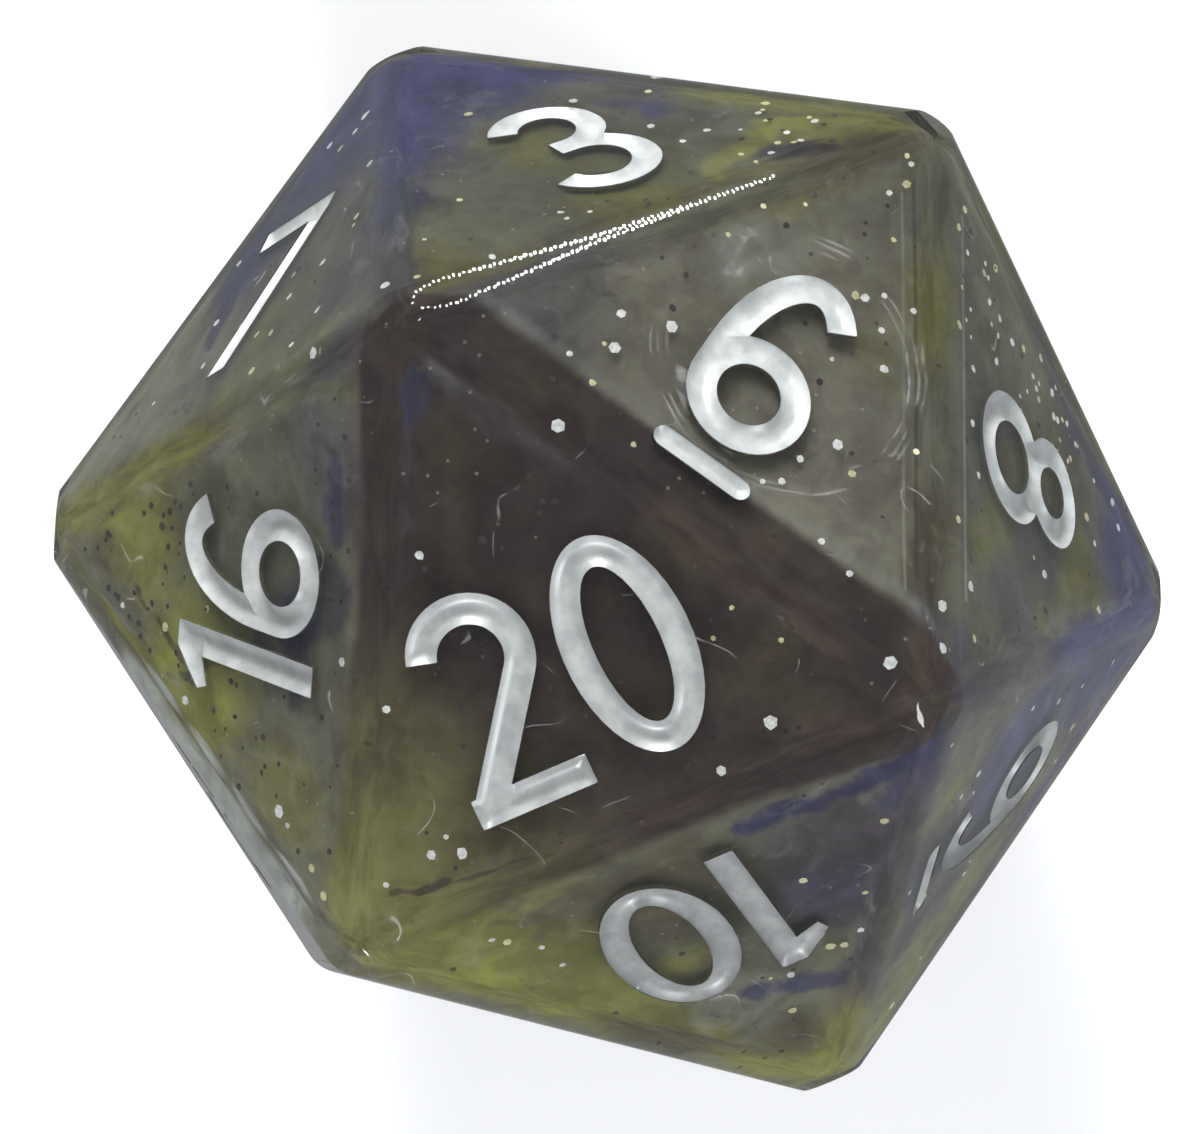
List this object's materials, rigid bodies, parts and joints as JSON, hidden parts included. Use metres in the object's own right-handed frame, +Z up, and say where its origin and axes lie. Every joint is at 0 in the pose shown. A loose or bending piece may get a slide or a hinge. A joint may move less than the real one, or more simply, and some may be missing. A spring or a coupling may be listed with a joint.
{
  "type": "twenty-sided die",
  "caption": "Translucent cast-resin twenty-sided die with coloured swirls, glitter and silver paint in its engraved numbers.",
  "frame": {"origin": "centre of the face the die rests on, which is face 1", "axes": "+Z up through the middle of face 20; the three corners of face 20 point 113.7, -6.3 and -126.3 degrees from +X, seen from above"},
  "size_m": [0.0238, 0.0224, 0.02],
  "materials": {
    "clear_resin": "polished cast resin, translucent, with cloudy violet and olive colour in it",
    "silver_paint": "silver-white acrylic paint, slightly pearly, rubbed into the engraving",
    "violet_resin": "violet pigmented resin, smoky at its edges",
    "olive_resin": "olive yellow pigmented resin",
    "smoky_resin": "brown smoky resin",
    "silver_foil": "mirror-bright foil",
    "gold_foil": "pale gold foil",
    "dark_foil": "dark foil seen from its shaded side"
  },
  "bodies": {
    "root": {"resin_body": "clear_resin", "violet_swirl_1": "violet_resin", "violet_swirl_2": "violet_resin", "violet_swirl_3": "violet_resin", "violet_swirl_4": "violet_resin", "violet_swirl_5": "violet_resin", "olive_swirl_1": "olive_resin", "olive_swirl_2": "olive_resin", "olive_swirl_3": "olive_resin", "olive_swirl_4": "olive_resin", "olive_swirl_5": "olive_resin", "smoky_core": "smoky_resin", "silver_glitter": "silver_foil", "gold_glitter": "gold_foil", "dark_glitter": "dark_foil", "numeral_01": "silver_paint", "numeral_02": "silver_paint", "numeral_03": "silver_paint", "numeral_04": "silver_paint", "numeral_05": "silver_paint", "numeral_06": "silver_paint", "numeral_07": "silver_paint", "numeral_08": "silver_paint", "numeral_09": "silver_paint", "numeral_10": "silver_paint", "numeral_11": "silver_paint", "numeral_12": "silver_paint", "numeral_13": "silver_paint", "numeral_14": "silver_paint", "numeral_15": "silver_paint", "numeral_16": "silver_paint", "numeral_17": "silver_paint", "numeral_18": "silver_paint", "numeral_19": "silver_paint", "numeral_20": "silver_paint"}
  },
  "joints": []
}
